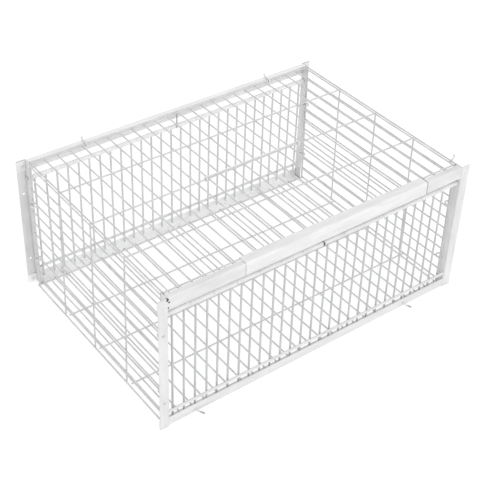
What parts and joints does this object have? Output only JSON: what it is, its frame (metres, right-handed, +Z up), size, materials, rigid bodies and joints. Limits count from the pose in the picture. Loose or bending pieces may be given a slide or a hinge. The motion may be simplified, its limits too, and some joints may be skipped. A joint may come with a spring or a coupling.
{
  "type": "pigeon cage",
  "caption": "Low wire pigeon cage with bent-sheet frames, one-way drop bars hanging on rods at front and back, welded-mesh floor and sides, and a hinged mesh lid with a latch hook.",
  "frame": {"origin": "middle of the base, on the surface that the cage stands on", "axes": "+X along the doorways, +Y from the front frame to the back frame, +Z up"},
  "size_m": [0.4, 0.2908, 0.1718],
  "materials": {
    "painted_sheet": "white satin paint on bent sheet steel",
    "painted_bar": "rubbed white satin paint on straight steel wire",
    "painted_mesh": "white dipped coating on welded steel wire",
    "painted_fastener": "white paint on bent wire and rivets"
  },
  "bodies": {
    "cage": {"front_left_post": "painted_sheet", "front_right_post": "painted_sheet", "front_top_rail": "painted_sheet", "front_bottom_rail": "painted_sheet", "front_corner_rivets": "painted_fastener", "front_bob_rod": "painted_bar", "front_rod_hanger": "painted_bar", "front_stop_rod": "painted_bar", "back_left_post": "painted_sheet", "back_right_post": "painted_sheet", "back_top_rail": "painted_sheet", "back_bottom_rail": "painted_sheet", "back_corner_rivets": "painted_fastener", "back_bob_rod": "painted_bar", "back_rod_hanger": "painted_bar", "back_stop_rod": "painted_bar", "floor_mesh": "painted_mesh", "left_side_mesh": "painted_mesh", "right_side_mesh": "painted_mesh", "left_side_rings": "painted_fastener", "right_side_rings": "painted_fastener", "front_floor_ties": "painted_fastener", "back_floor_ties": "painted_fastener", "lid_hinge_hooks": "painted_fastener"},
    "lid": {"lid_mesh": "painted_mesh", "lid_edge_strip": "painted_sheet", "lid_grip_wire": "painted_mesh"},
    "lid_latch": {"lid_latch_hook": "painted_fastener"},
    "front_drop_bars_01": {"front_drop_bars_01": "painted_bar"},
    "front_drop_bars_02": {"front_drop_bars_02": "painted_bar"},
    "front_drop_bars_03": {"front_drop_bars_03": "painted_bar"},
    "front_drop_bars_04": {"front_drop_bars_04": "painted_bar"},
    "front_drop_bars_05": {"front_drop_bars_05": "painted_bar"},
    "front_drop_bars_06": {"front_drop_bars_06": "painted_bar"},
    "front_drop_bars_07": {"front_drop_bars_07": "painted_bar"},
    "front_drop_bars_08": {"front_drop_bars_08": "painted_bar"},
    "front_drop_bars_09": {"front_drop_bars_09": "painted_bar"},
    "front_drop_bars_10": {"front_drop_bars_10": "painted_bar"},
    "front_drop_bars_11": {"front_drop_bars_11": "painted_bar"},
    "front_drop_bars_12": {"front_drop_bars_12": "painted_bar"},
    "front_drop_bars_13": {"front_drop_bars_13": "painted_bar"},
    "front_drop_bars_14": {"front_drop_bars_14": "painted_bar"},
    "back_drop_bars_01": {"back_drop_bars_01": "painted_bar"},
    "back_drop_bars_02": {"back_drop_bars_02": "painted_bar"},
    "back_drop_bars_03": {"back_drop_bars_03": "painted_bar"},
    "back_drop_bars_04": {"back_drop_bars_04": "painted_bar"},
    "back_drop_bars_05": {"back_drop_bars_05": "painted_bar"},
    "back_drop_bars_06": {"back_drop_bars_06": "painted_bar"},
    "back_drop_bars_07": {"back_drop_bars_07": "painted_bar"},
    "back_drop_bars_08": {"back_drop_bars_08": "painted_bar"},
    "back_drop_bars_09": {"back_drop_bars_09": "painted_bar"},
    "back_drop_bars_10": {"back_drop_bars_10": "painted_bar"},
    "back_drop_bars_11": {"back_drop_bars_11": "painted_bar"},
    "back_drop_bars_12": {"back_drop_bars_12": "painted_bar"},
    "back_drop_bars_13": {"back_drop_bars_13": "painted_bar"},
    "back_drop_bars_14": {"back_drop_bars_14": "painted_bar"}
  },
  "joints": [
    {"name": "lid_hinge", "type": "hinge", "parent": "cage", "child": "lid", "pos_m": [0, 0.1269, 0.1654], "axis": [-1, 0, 0], "range_deg": [0, 105]},
    {"name": "latch_swing", "type": "hinge", "parent": "cage", "child": "lid_latch", "pos_m": [0.1902, -0.1185, 0.1643], "axis": [0, 1, 0], "range_deg": [-100, 75]},
    {"name": "front_drop_bars_01_swing", "type": "hinge", "parent": "cage", "child": "front_drop_bars_01", "pos_m": [0, -0.1327, 0.144], "axis": [1, 0, 0], "range_deg": [0, 70]},
    {"name": "front_drop_bars_02_swing", "type": "hinge", "parent": "cage", "child": "front_drop_bars_02", "pos_m": [0, -0.1327, 0.144], "axis": [1, 0, 0], "range_deg": [0, 70]},
    {"name": "front_drop_bars_03_swing", "type": "hinge", "parent": "cage", "child": "front_drop_bars_03", "pos_m": [0, -0.1327, 0.144], "axis": [1, 0, 0], "range_deg": [0, 70]},
    {"name": "front_drop_bars_04_swing", "type": "hinge", "parent": "cage", "child": "front_drop_bars_04", "pos_m": [0, -0.1327, 0.144], "axis": [1, 0, 0], "range_deg": [0, 70]},
    {"name": "front_drop_bars_05_swing", "type": "hinge", "parent": "cage", "child": "front_drop_bars_05", "pos_m": [0, -0.1327, 0.144], "axis": [1, 0, 0], "range_deg": [0, 70]},
    {"name": "front_drop_bars_06_swing", "type": "hinge", "parent": "cage", "child": "front_drop_bars_06", "pos_m": [0, -0.1327, 0.144], "axis": [1, 0, 0], "range_deg": [0, 70]},
    {"name": "front_drop_bars_07_swing", "type": "hinge", "parent": "cage", "child": "front_drop_bars_07", "pos_m": [0, -0.1327, 0.144], "axis": [1, 0, 0], "range_deg": [0, 70]},
    {"name": "front_drop_bars_08_swing", "type": "hinge", "parent": "cage", "child": "front_drop_bars_08", "pos_m": [0, -0.1327, 0.144], "axis": [1, 0, 0], "range_deg": [0, 70]},
    {"name": "front_drop_bars_09_swing", "type": "hinge", "parent": "cage", "child": "front_drop_bars_09", "pos_m": [0, -0.1327, 0.144], "axis": [1, 0, 0], "range_deg": [0, 70]},
    {"name": "front_drop_bars_10_swing", "type": "hinge", "parent": "cage", "child": "front_drop_bars_10", "pos_m": [0, -0.1327, 0.144], "axis": [1, 0, 0], "range_deg": [0, 70]},
    {"name": "front_drop_bars_11_swing", "type": "hinge", "parent": "cage", "child": "front_drop_bars_11", "pos_m": [0, -0.1327, 0.144], "axis": [1, 0, 0], "range_deg": [0, 70]},
    {"name": "front_drop_bars_12_swing", "type": "hinge", "parent": "cage", "child": "front_drop_bars_12", "pos_m": [0, -0.1327, 0.144], "axis": [1, 0, 0], "range_deg": [0, 70]},
    {"name": "front_drop_bars_13_swing", "type": "hinge", "parent": "cage", "child": "front_drop_bars_13", "pos_m": [0, -0.1327, 0.144], "axis": [1, 0, 0], "range_deg": [0, 70]},
    {"name": "front_drop_bars_14_swing", "type": "hinge", "parent": "cage", "child": "front_drop_bars_14", "pos_m": [0, -0.1327, 0.144], "axis": [1, 0, 0], "range_deg": [0, 70]},
    {"name": "back_drop_bars_01_swing", "type": "hinge", "parent": "cage", "child": "back_drop_bars_01", "pos_m": [0, 0.1327, 0.144], "axis": [-1, 0, 0], "range_deg": [0, 70]},
    {"name": "back_drop_bars_02_swing", "type": "hinge", "parent": "cage", "child": "back_drop_bars_02", "pos_m": [0, 0.1327, 0.144], "axis": [-1, 0, 0], "range_deg": [0, 70]},
    {"name": "back_drop_bars_03_swing", "type": "hinge", "parent": "cage", "child": "back_drop_bars_03", "pos_m": [0, 0.1327, 0.144], "axis": [-1, 0, 0], "range_deg": [0, 70]},
    {"name": "back_drop_bars_04_swing", "type": "hinge", "parent": "cage", "child": "back_drop_bars_04", "pos_m": [0, 0.1327, 0.144], "axis": [-1, 0, 0], "range_deg": [0, 70]},
    {"name": "back_drop_bars_05_swing", "type": "hinge", "parent": "cage", "child": "back_drop_bars_05", "pos_m": [0, 0.1327, 0.144], "axis": [-1, 0, 0], "range_deg": [0, 70]},
    {"name": "back_drop_bars_06_swing", "type": "hinge", "parent": "cage", "child": "back_drop_bars_06", "pos_m": [0, 0.1327, 0.144], "axis": [-1, 0, 0], "range_deg": [0, 70]},
    {"name": "back_drop_bars_07_swing", "type": "hinge", "parent": "cage", "child": "back_drop_bars_07", "pos_m": [0, 0.1327, 0.144], "axis": [-1, 0, 0], "range_deg": [0, 70]},
    {"name": "back_drop_bars_08_swing", "type": "hinge", "parent": "cage", "child": "back_drop_bars_08", "pos_m": [0, 0.1327, 0.144], "axis": [-1, 0, 0], "range_deg": [0, 70]},
    {"name": "back_drop_bars_09_swing", "type": "hinge", "parent": "cage", "child": "back_drop_bars_09", "pos_m": [0, 0.1327, 0.144], "axis": [-1, 0, 0], "range_deg": [0, 70]},
    {"name": "back_drop_bars_10_swing", "type": "hinge", "parent": "cage", "child": "back_drop_bars_10", "pos_m": [0, 0.1327, 0.144], "axis": [-1, 0, 0], "range_deg": [0, 70]},
    {"name": "back_drop_bars_11_swing", "type": "hinge", "parent": "cage", "child": "back_drop_bars_11", "pos_m": [0, 0.1327, 0.144], "axis": [-1, 0, 0], "range_deg": [0, 70]},
    {"name": "back_drop_bars_12_swing", "type": "hinge", "parent": "cage", "child": "back_drop_bars_12", "pos_m": [0, 0.1327, 0.144], "axis": [-1, 0, 0], "range_deg": [0, 70]},
    {"name": "back_drop_bars_13_swing", "type": "hinge", "parent": "cage", "child": "back_drop_bars_13", "pos_m": [0, 0.1327, 0.144], "axis": [-1, 0, 0], "range_deg": [0, 70]},
    {"name": "back_drop_bars_14_swing", "type": "hinge", "parent": "cage", "child": "back_drop_bars_14", "pos_m": [0, 0.1327, 0.144], "axis": [-1, 0, 0], "range_deg": [0, 70]}
  ]
}
